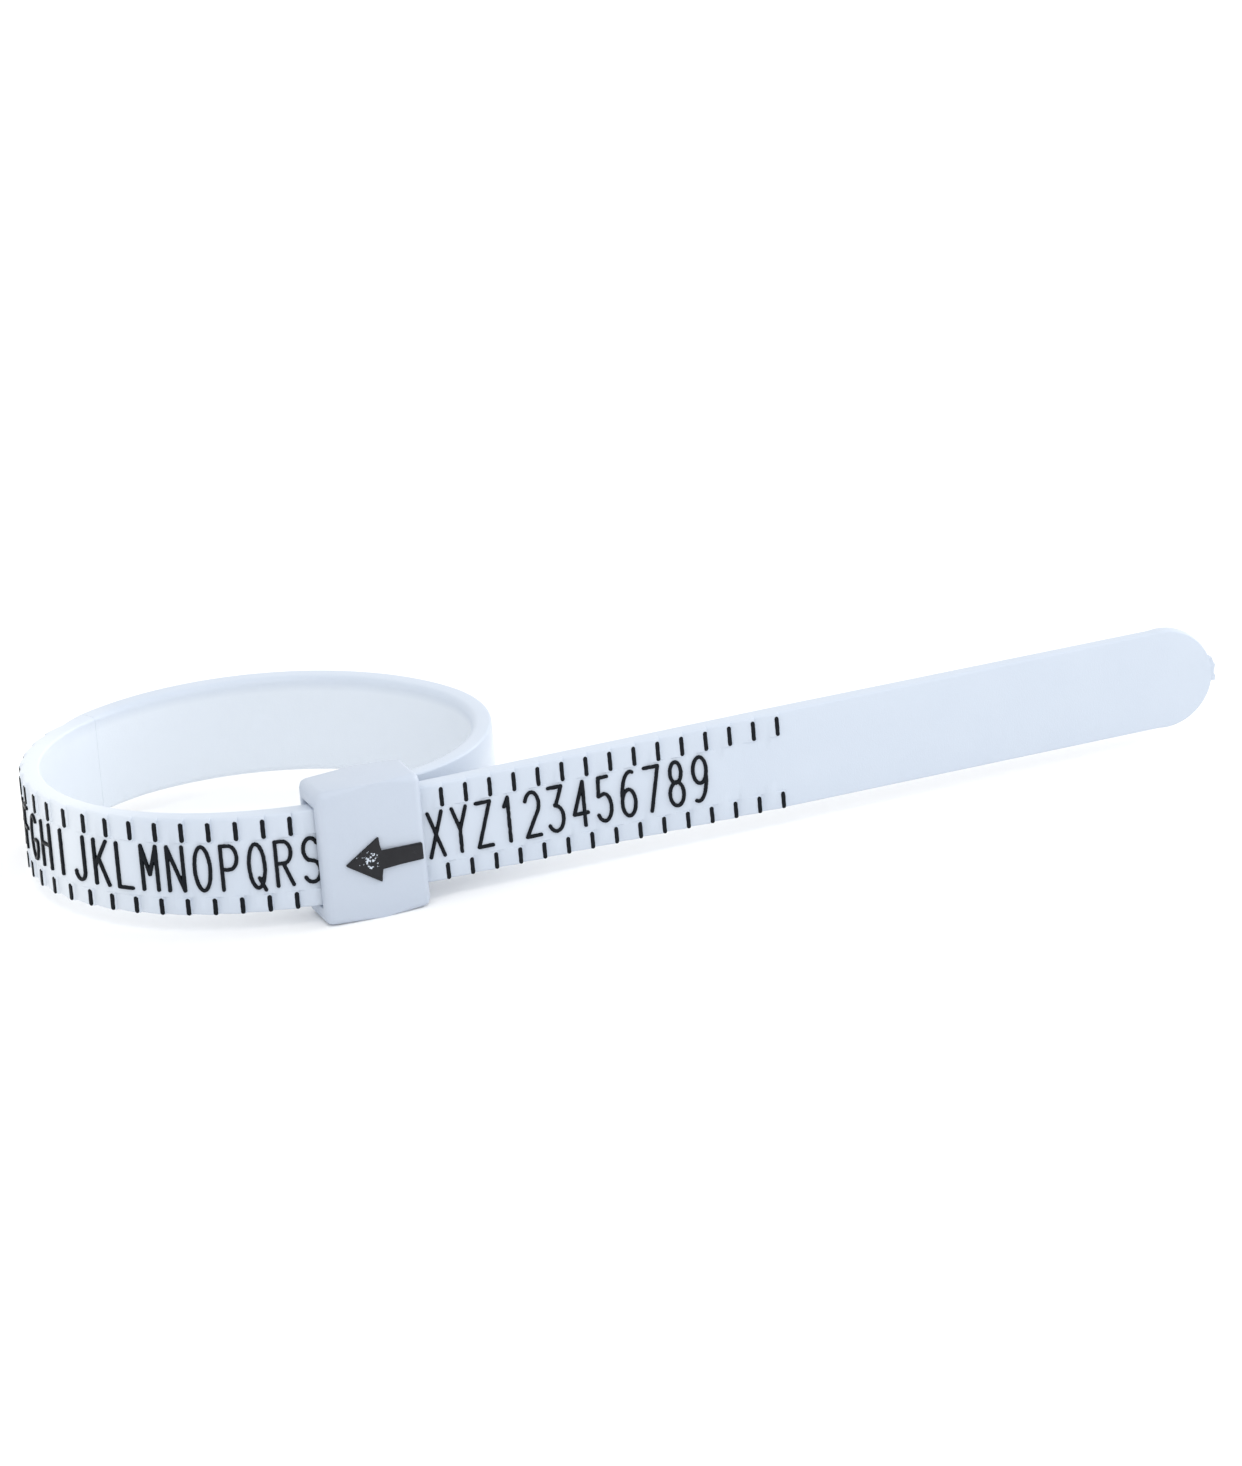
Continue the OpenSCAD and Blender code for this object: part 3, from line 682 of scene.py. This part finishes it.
def mark_cell(strap, k, letter):
    """The pads of cell k: its letter, if it has one, and its two ticks."""
    sizes, marks = strap.sizes, mark_sizes()
    tick_s = strap.ticks[k]
    pads = []

    def on_band(x, y, h):
        return strap.track.place(tick_s - x, strap.mid_z + y, sizes.thickness - sizes.band_drop + h)

    def on_margin(x, y, h):
        return strap.track.place(tick_s - x, strap.mid_z + y, sizes.thickness + h)

    if letter:
        shift = LETTER_SHIFT - marks.letter_width / 2
        strokes = [[(x + shift, y - LETTER_DROP) for x, y in line]
                   for line in letter_strokes(letter, marks.letter_width, marks.letter_height, marks.stroke)]
        pads.append(pad(strokes, marks.stroke / 2, marks.letter_rise, on_band, k))
    r = marks.tick / 2 - TICK_TRIM
    half = strap.width / 2
    upper = (half - sizes.upper_margin + TICK_GAP, half - TICK_RIM)
    lower = (-half + TICK_END, -half + sizes.lower_margin - TICK_END)
    for low, high in (upper, lower):
        line = [(0.0, low + r), (0.0, high - r)]
        pads.append(pad([line], r, marks.tick_rise, on_margin, k + low))
    return pads


class RINGSIZER_OT_marks(bpy.types.Operator):
    """Raises the printed letters, numbers and ticks on the strap"""

    bl_idname = "ring_sizer.marks"
    bl_label = "Raise the marks"

    def execute(self, context):
        strap = Strap(strap_sizes())
        groups = {"tail": [k for k in strap.ticks if k < 0], "s": [0], "qr": [1, 2], "p": [3],
                  "mno": range(4, 7), "jkl": range(7, 10), "ghi": range(10, 13), "def": range(13, 16),
                  "abc": range(16, 19)}
        for group, cells in groups.items():
            verts, faces = [], []
            for k in cells:
                letter = LOOP_MARKS[k] if k >= 0 else TAIL_MARKS[-k - 1] if -k <= len(TAIL_MARKS) else ""
                for v, f in mark_cell(strap, k, letter):
                    faces += [tuple(i + len(verts) for i in face) for face in f]
                    verts += v
            piece = new_object(f"scale_{group}", verts, faces, material("black print"), sharp=60.0)
            body = "tail" if group == "tail" else f"cell_{group}" if len(group) == 1 else f"cells_{group}"
            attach(piece, body)
            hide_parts(f"marks_{group}")
        return {"FINISHED"}


# ---------------------------------------------------------------- the buckle


FLARE = 0.4           # extra room behind the strap at the slot's loop end
FLARE_X = 0.3         # the slot is parallel from here to its tail end
BUCKLE_ROUND = 0.42   # radius of the buckle's outside edges
MOUTH_ROUND = 0.09    # radius of the slot's edges
ARROW_HEAD = 1.75     # length of the arrow's head
ARROW_SHAFT = 0.83    # height of its shaft
ARROW_ROUND = 0.07    # radius of its edges
ARROW_ROOT = 0.02     # how far it is sunk into the buckle


def rectangle(y0, y1, z0, z1):
    """The corners of a rectangle across the strap."""
    return [(y0, z0), (y1, z0), (y1, z1), (y0, z1)]


def bevel(mesh_data, chosen, radius, steps):
    """Rounds the chosen edges of a bmesh."""
    bmesh.ops.bevel(mesh_data, geom=chosen, offset=radius * MM, segments=steps, profile=0.5, affect="EDGES")


class RINGSIZER_OT_buckle(bpy.types.Operator):
    """Moulds the buckle as one sleeve with a flared slot"""

    bl_idname = "ring_sizer.buckle"
    bl_label = "Mould the buckle"

    def execute(self, context):
        front_lo, front_hi = box_mm("buckle_front")
        back_lo, back_hi = box_mm("buckle_back")
        outer = rectangle(front_lo.y, back_hi.y, front_lo.z, front_hi.z)
        work = bmesh.new()
        rings = []
        for x, extra in ((front_lo.x, FLARE), (FLARE_X, 0.0), (front_hi.x, 0.0)):
            inner = rectangle(front_hi.y, back_lo.y + extra, back_lo.z, back_hi.z)
            rings.append([[work.verts.new((x * MM, y * MM, z * MM)) for y, z in ring]
                          for ring in (outer, inner)])
        for (o0, i0), (o1, i1) in zip(rings[:-1], rings[1:]):
            for j in range(4):
                k = (j + 1) % 4
                work.faces.new((o0[j], o0[k], o1[k], o1[j]))
                work.faces.new((i0[j], i1[j], i1[k], i0[k]))
        for (o, i), flip in ((rings[0], False), (rings[-1], True)):
            for j in range(4):
                k = (j + 1) % 4
                quad = (o[j], i[j], i[k], o[k])
                work.faces.new(reversed(quad) if flip else quad)
        work.edges.ensure_lookup_table()
        outer_verts = {v for o, _ in rings for v in o}
        inner_verts = {v for _, i in rings for v in i}
        ends = {v for ring in (rings[0], rings[-1]) for part in ring for v in part}
        mouth = [e for e in work.edges if set(e.verts) <= inner_verts and set(e.verts) <= ends
                 and abs(e.verts[0].co.x - e.verts[1].co.x) < 1e-9]
        rim = [e for e in work.edges if set(e.verts) <= outer_verts
               and not (set(e.verts) <= {v for v in rings[1][0]})]
        bevel(work, rim, BUCKLE_ROUND, 6)
        mouth = [e for e in mouth if e.is_valid]
        bevel(work, mouth, MOUTH_ROUND, 3)
        bmesh.ops.recalc_face_normals(work, faces=work.faces)
        mesh = bpy.data.meshes.new("buckle_sleeve")
        work.to_mesh(mesh)
        work.free()
        mesh.polygons.foreach_set("use_smooth", [True] * len(mesh.polygons))
        mesh.set_sharp_from_angle(angle=math.radians(30))
        sleeve = bpy.data.objects.new("buckle_sleeve", mesh)
        bpy.context.collection.objects.link(sleeve)
        mesh.materials.append(material("buckle plastic"))
        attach(sleeve, "root")
        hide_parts("buckle_front", "buckle_back", "buckle_top", "buckle_bottom")
        return {"FINISHED"}


class RINGSIZER_OT_arrow(bpy.types.Operator):
    """Raises the printed arrow on the buckle"""

    bl_idname = "ring_sizer.arrow"
    bl_label = "Raise the arrow"

    def execute(self, context):
        lo, hi = box_mm("buckle_arrow")
        mid = (lo.z + hi.z) / 2
        neck_x, half = lo.x + ARROW_HEAD, ARROW_SHAFT / 2
        outline = [(hi.x, mid - half), (hi.x, mid + half), (neck_x, mid + half), (neck_x, hi.z),
                   (lo.x, mid), (neck_x, lo.z), (neck_x, mid - half)]
        work = bmesh.new()
        base = [work.verts.new((x * MM, (hi.y + ARROW_ROOT) * MM, z * MM)) for x, z in outline]
        top = [work.verts.new((x * MM, lo.y * MM, z * MM)) for x, z in outline]
        n = len(outline)
        work.faces.new(base)
        work.faces.new(list(reversed(top)))
        for j in range(n):
            k = (j + 1) % n
            work.faces.new((base[j], top[j], top[k], base[k]))
        rim = [e for e in work.edges if all(v in top for v in e.verts)]
        corners = [e for e in work.edges if (e.verts[0] in top) != (e.verts[1] in top)]
        bevel(work, rim + corners, ARROW_ROUND, 3)
        bmesh.ops.recalc_face_normals(work, faces=work.faces)
        mesh = bpy.data.meshes.new("arrow_raised")
        work.to_mesh(mesh)
        work.free()
        mesh.polygons.foreach_set("use_smooth", [True] * len(mesh.polygons))
        mesh.set_sharp_from_angle(angle=math.radians(30))
        arrow = bpy.data.objects.new("arrow_raised", mesh)
        bpy.context.collection.objects.link(arrow)
        mesh.materials.append(material("arrow print"))
        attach(arrow, "root")
        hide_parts("buckle_arrow")
        return {"FINISHED"}


# ---------------------------------------------------------------- materials


def node_group(name, inputs, outputs):
    """A new shader node group with named sockets, its input node and its output node."""
    group = bpy.data.node_groups.new(name, "ShaderNodeTree")
    for label, kind, value in inputs:
        socket = group.interface.new_socket(name=label, in_out="INPUT", socket_type=kind)
        socket.default_value = value
    for label, kind in outputs:
        group.interface.new_socket(name=label, in_out="OUTPUT", socket_type=kind)
    return group, group.nodes.new("NodeGroupInput"), group.nodes.new("NodeGroupOutput")


def moulding_group():
    """Cloudy colour, with painted light that makes it paler where light would come through, and the fine
    grain of a moulded surface.
    """
    group, given, out = node_group(
        "Moulded surface",
        [("Colour", "NodeSocketColor", (0.6, 0.65, 0.75, 1)),
         ("Shade", "NodeSocketColor", (0.5, 0.55, 0.7, 1)),
         ("Cloud Scale", "NodeSocketFloat", 350.0), ("Grain Scale", "NodeSocketFloat", 9000.0),
         ("Grain Strength", "NodeSocketFloat", 0.1), ("Roughness", "NodeSocketFloat", 0.4),
         ("Lit Colour", "NodeSocketColor", (0.7, 0.75, 0.8, 1)), ("Lit Amount", "NodeSocketFloat", 0.0)],
        [("Colour", "NodeSocketColor"), ("Roughness", "NodeSocketFloat"), ("Height", "NodeSocketFloat")])
    add, link = group.nodes.new, group.links.new
    place = add("ShaderNodeTexCoord")
    cloud, grain = add("ShaderNodeTexNoise"), add("ShaderNodeTexNoise")
    cloud.inputs["Detail"].default_value = 3.0
    grain.inputs["Detail"].default_value = 2.0
    link(place.outputs["Object"], cloud.inputs["Vector"])
    link(place.outputs["Object"], grain.inputs["Vector"])
    link(given.outputs["Cloud Scale"], cloud.inputs["Scale"])
    link(given.outputs["Grain Scale"], grain.inputs["Scale"])
    mix = add("ShaderNodeMix")
    mix.data_type = "RGBA"
    link(cloud.outputs["Fac"], mix.inputs["Factor"])
    link(given.outputs["Colour"], mix.inputs["A"])
    link(given.outputs["Shade"], mix.inputs["B"])
    # Painted light: the paler colour is mixed in by the painted-light attribute of each point.
    painted_light, amount = add("ShaderNodeAttribute"), add("ShaderNodeMath")
    painted_light.attribute_name = "painted_light"
    amount.operation = "MULTIPLY"
    link(painted_light.outputs["Fac"], amount.inputs[0])
    link(given.outputs["Lit Amount"], amount.inputs[1])
    bright = add("ShaderNodeMix")
    bright.data_type = "RGBA"
    link(amount.outputs[0], bright.inputs["Factor"])
    link(mix.outputs["Result"], bright.inputs["A"])
    link(given.outputs["Lit Colour"], bright.inputs["B"])
    link(bright.outputs["Result"], out.inputs["Colour"])
    rough = add("ShaderNodeMath")
    rough.operation = "MULTIPLY_ADD"
    rough.inputs[1].default_value = 0.16
    link(cloud.outputs["Fac"], rough.inputs[0])
    link(given.outputs["Roughness"], rough.inputs[2])
    link(rough.outputs[0], out.inputs["Roughness"])
    height = add("ShaderNodeMath")
    height.operation = "MULTIPLY"
    link(grain.outputs["Fac"], height.inputs[0])
    link(given.outputs["Grain Strength"], height.inputs[1])
    link(height.outputs[0], out.inputs["Height"])
    return group


def chipping_group():
    """A mask of small chips where print has come off, with more of them near a spot."""
    group, given, out = node_group(
        "Chipped print",
        [("Scale", "NodeSocketFloat", 1500.0), ("Level", "NodeSocketFloat", 0.7),
         ("Offset", "NodeSocketVector", (0, 0, 0)), ("Spot", "NodeSocketVector", (0, 0, 0)),
         ("Spot Radius", "NodeSocketFloat", 0.0003), ("Spot Gain", "NodeSocketFloat", 0.0)],
        [("Chips", "NodeSocketFloat")])
    add, link = group.nodes.new, group.links.new
    place, shift, noise, cut = (add("ShaderNodeTexCoord"), add("ShaderNodeVectorMath"),
                                add("ShaderNodeTexNoise"), add("ShaderNodeMath"))
    noise.inputs["Detail"].default_value = 4.0
    noise.inputs["Roughness"].default_value = 0.62
    link(place.outputs["Object"], shift.inputs[0])
    link(given.outputs["Offset"], shift.inputs[1])
    link(shift.outputs[0], noise.inputs["Vector"])
    link(given.outputs["Scale"], noise.inputs["Scale"])
    far, near, gain, total = (add("ShaderNodeVectorMath"), add("ShaderNodeMapRange"),
                              add("ShaderNodeMath"), add("ShaderNodeMath"))
    far.operation = "DISTANCE"
    link(place.outputs["Object"], far.inputs[0])
    link(given.outputs["Spot"], far.inputs[1])
    link(far.outputs["Value"], near.inputs["Value"])
    link(given.outputs["Spot Radius"], near.inputs["From Min"])
    near.inputs["From Max"].default_value = 0.0
    gain.operation = "MULTIPLY"
    link(near.outputs["Result"], gain.inputs[0])
    link(given.outputs["Spot Gain"], gain.inputs[1])
    link(noise.outputs["Fac"], total.inputs[0])
    link(gain.outputs[0], total.inputs[1])
    cut.operation = "GREATER_THAN"
    link(total.outputs[0], cut.inputs[0])
    link(given.outputs["Level"], cut.inputs[1])
    link(cut.outputs[0], out.inputs["Chips"])
    return group


def placed(tree, group, **values):
    """A node of a group in a material, with values on its named inputs."""
    node = tree.nodes.new("ShaderNodeGroup")
    node.node_tree = group
    for label, value in values.items():
        node.inputs[label.replace("_", " ")].default_value = value
    return node


def with_alpha(colour):
    return (*colour, 1.0)


def plastic_material(name, colour, shade, grain, painted_light_amount):
    """Satin blue-white plastic, with painted light making it paler by an amount where light comes through
    the curl.
    """
    mat = bpy.data.materials.new(name)
    mat.use_nodes = True
    tree = mat.node_tree
    shader = tree.nodes["Principled BSDF"]
    surface = placed(tree, bpy.data.node_groups["Moulded surface"], Colour=with_alpha(colour),
                     Shade=with_alpha(shade), Cloud_Scale=420.0, Grain_Scale=14000.0,
                     Grain_Strength=grain, Roughness=0.30, Lit_Colour=with_alpha(finish_colours().painted_light),
                     Lit_Amount=painted_light_amount)
    bump = tree.nodes.new("ShaderNodeBump")
    bump.inputs["Distance"].default_value = 0.00002
    bump.inputs["Strength"].default_value = 0.5
    tree.links.new(surface.outputs["Colour"], shader.inputs["Base Color"])
    tree.links.new(surface.outputs["Roughness"], shader.inputs["Roughness"])
    tree.links.new(surface.outputs["Height"], bump.inputs["Height"])
    tree.links.new(bump.outputs["Normal"], shader.inputs["Normal"])
    shader.inputs["IOR"].default_value = 1.46
    return mat


def print_material(name, colour, chips, rough):
    """Foil print that has chipped off in places to show the plastic."""
    mat = bpy.data.materials.new(name)
    mat.use_nodes = True
    tree = mat.node_tree
    shader = tree.nodes["Principled BSDF"]
    chips = placed(tree, bpy.data.node_groups["Chipped print"], **chips)
    surface = placed(tree, bpy.data.node_groups["Moulded surface"], Colour=with_alpha(colour),
                     Shade=with_alpha([c * 1.5 for c in colour]), Cloud_Scale=2500.0, Grain_Scale=16000.0,
                     Grain_Strength=1.0, Roughness=rough)
    mix = tree.nodes.new("ShaderNodeMix")
    mix.data_type = "RGBA"
    mix.inputs["B"].default_value = with_alpha(finish_colours().plastic)
    bump = tree.nodes.new("ShaderNodeBump")
    bump.inputs["Distance"].default_value = 0.00001
    bump.inputs["Strength"].default_value = 0.4
    tree.links.new(chips.outputs["Chips"], mix.inputs["Factor"])
    tree.links.new(surface.outputs["Colour"], mix.inputs["A"])
    tree.links.new(mix.outputs["Result"], shader.inputs["Base Color"])
    tree.links.new(surface.outputs["Roughness"], shader.inputs["Roughness"])
    tree.links.new(surface.outputs["Height"], bump.inputs["Height"])
    tree.links.new(bump.outputs["Normal"], shader.inputs["Normal"])
    shader.inputs["Specular IOR Level"].default_value = 0.12
    return mat


def material(name):
    """One of the object's materials, by name."""
    return bpy.data.materials[name]


class RINGSIZER_OT_materials(bpy.types.Operator):
    """Mixes the plastic and the two prints"""

    bl_idname = "ring_sizer.materials"
    bl_label = "Mix the materials"

    def execute(self, context):
        moulding_group()
        chipping_group()
        finishes = finish_colours()
        # The strap gets its painted light in full; the buckle gets none.
        plastic_material("strap plastic", finishes.plastic, finishes.plastic_shade, 0.6, 1.0)
        plastic_material("buckle plastic", finishes.buckle, finishes.buckle_shade, 0.8, 0.0)
        print_material("black print", finishes.print_black, {"Scale": 5200.0, "Level": 0.78}, 0.22)
        arrow_lo, arrow_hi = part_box("buckle_arrow")
        spot = (arrow_lo[0] + 1.15 * MM, arrow_lo[1], (arrow_lo[2] + arrow_hi[2]) / 2 + 0.1 * MM)
        print_material("arrow print", finishes.arrow_grey, {
            "Scale": 6500.0, "Level": 0.74, "Offset": (0.3, 0.1, 0.2), "Spot": spot,
            "Spot Radius": 0.75 * MM, "Spot Gain": 0.27}, 0.36)
        return {"FINISHED"}


# ---------------------------------------------------------------- the stage


SIZES_IN_BUCKLE = 4   # marked sizes hidden under the arrow's wall
AZIMUTH, ELEVATION, ROLL = -18.47, 20.23, 5.24      # the camera's angles, in degrees
AIM_RIGHT, AIM_UP = 8.79, 3.98                      # where it aims, from the first tick right of the buckle
DISTANCE, LENS = 725.3, 373.8
FLOOR_REACH = 3000.0


class RINGSIZER_OT_stage(bpy.types.Operator):
    """Sets the pale floor, the soft studio light and the camera"""

    bl_idname = "ring_sizer.stage"
    bl_label = "Set the stage"

    def execute(self, context):
        self.floor()
        self.lights()
        self.camera()
        return {"FINISHED"}

    def floor(self):
        mat = bpy.data.materials.new("studio floor")
        mat.use_nodes = True
        shader = mat.node_tree.nodes["Principled BSDF"]
        shader.inputs["Base Color"].default_value = with_alpha(finish_colours().floor)
        shader.inputs["Roughness"].default_value = 0.9
        shader.inputs["Specular IOR Level"].default_value = 0.1
        reach = FLOOR_REACH * MM
        verts = [(x * reach, y * reach, 0) for x, y in ((-1, -1), (1, -1), (1, 1), (-1, 1))]
        floor = new_object("floor", verts, [(0, 1, 2, 3)], mat)

    def lights(self):
        world = bpy.data.worlds.new("studio")
        bpy.context.scene.world = world
        world.use_nodes = True
        sky = world.node_tree.nodes["Background"]
        sky.inputs["Color"].default_value = (1.0, 1.0, 1.0, 1.0)
        sky.inputs["Strength"].default_value = 1.08
        middle = (CAD_BOX[0] + CAD_BOX[1]) / 2
        self.area("key", middle + Vector((0.02, -0.42, 0.25)), middle, 0.30, 0.15)
        self.area("side", middle + Vector((0.45, -0.04, 0.16)), middle, 0.35, 1.0)
        self.area("top", middle + Vector((-0.12, -0.22, 0.42)), middle, 0.25, 0.35)
        bpy.context.scene.view_settings.view_transform = "Standard"

    def area(self, name, place, aim, size, power):
        lamp = bpy.data.lights.new(name, "AREA")
        lamp.energy = power
        lamp.size = size
        obj = bpy.data.objects.new(name, lamp)
        obj.location = place
        obj.rotation_euler = (place - aim).to_track_quat("Z", "Y").to_euler()
        bpy.context.collection.objects.link(obj)

    def camera(self):
        azimuth, elevation, roll = (math.radians(a) for a in (AZIMUTH, ELEVATION, ROLL))
        back = Vector((math.sin(azimuth) * math.cos(elevation), -math.cos(azimuth) * math.cos(elevation),
                       math.sin(elevation)))
        right = Vector((math.cos(azimuth), math.sin(azimuth), 0))
        up = back.cross(right)
        fold, sizes = Vector(JOINTS["fold_s"]["pos_m"]) / MM, strap_sizes()
        first_seen = fold + Vector(((SIZES_IN_BUCKLE + 1) * sizes.pitch, -sizes.thickness, -LETTER_DROP))
        aim = first_seen + AIM_RIGHT * right + AIM_UP * up
        lens = bpy.data.cameras.new("camera")
        lens.lens = LENS
        lens.clip_start = 0.01
        lens.clip_end = 100.0
        camera = bpy.data.objects.new("camera", lens)
        side = right * math.cos(roll) - up * math.sin(roll)
        top = right * math.sin(roll) + up * math.cos(roll)
        turn = Matrix((side, top, back)).transposed()
        camera.matrix_world = Matrix.Translation((aim + back * DISTANCE) * MM) @ turn.to_4x4()
        bpy.context.collection.objects.link(camera)
        bpy.context.scene.camera = camera


# ---------------------------------------------------------------- panel and start


class RINGSIZER_PT_panel(bpy.types.Panel):
    """Lists the steps and sizes of the ring sizer"""

    bl_idname = "RINGSIZER_PT_panel"
    bl_label = "Ring Sizer"
    bl_space_type = "VIEW_3D"
    bl_region_type = "UI"
    bl_category = "Ring Sizer"

    def draw(self, context):
        for step in STEPS:
            self.layout.operator(step.bl_idname)
        for group in (strap_sizes(), mark_sizes(), finish_colours()):
            column = self.layout.column()
            for name in group.bl_rna.properties.keys():
                if name not in ("rna_type", "name"):
                    column.prop(group, name)


GROUPS = (StrapSizes, MarkSizes, Finishes)
STEPS = (RINGSIZER_OT_materials, RINGSIZER_OT_stage, RINGSIZER_OT_strap, RINGSIZER_OT_marks,
         RINGSIZER_OT_buckle, RINGSIZER_OT_arrow)


def register():
    for cls in (*GROUPS, *STEPS, RINGSIZER_PT_panel):
        bpy.utils.register_class(cls)
    bpy.types.Scene.ring_sizer_strap = bpy.props.PointerProperty(type=StrapSizes)
    bpy.types.Scene.ring_sizer_marks = bpy.props.PointerProperty(type=MarkSizes)
    bpy.types.Scene.ring_sizer_finishes = bpy.props.PointerProperty(type=Finishes)


def unregister():
    del bpy.types.Scene.ring_sizer_finishes
    del bpy.types.Scene.ring_sizer_marks
    del bpy.types.Scene.ring_sizer_strap
    for cls in (RINGSIZER_PT_panel, *reversed(STEPS), *reversed(GROUPS)):
        bpy.utils.unregister_class(cls)


def main():
    register()
    bpy.ops.ring_sizer.materials()
    bpy.ops.ring_sizer.stage()
    bpy.ops.ring_sizer.strap()
    bpy.ops.ring_sizer.marks()
    bpy.ops.ring_sizer.buckle()
    bpy.ops.ring_sizer.arrow()


if __name__ == "__main__":
    main()
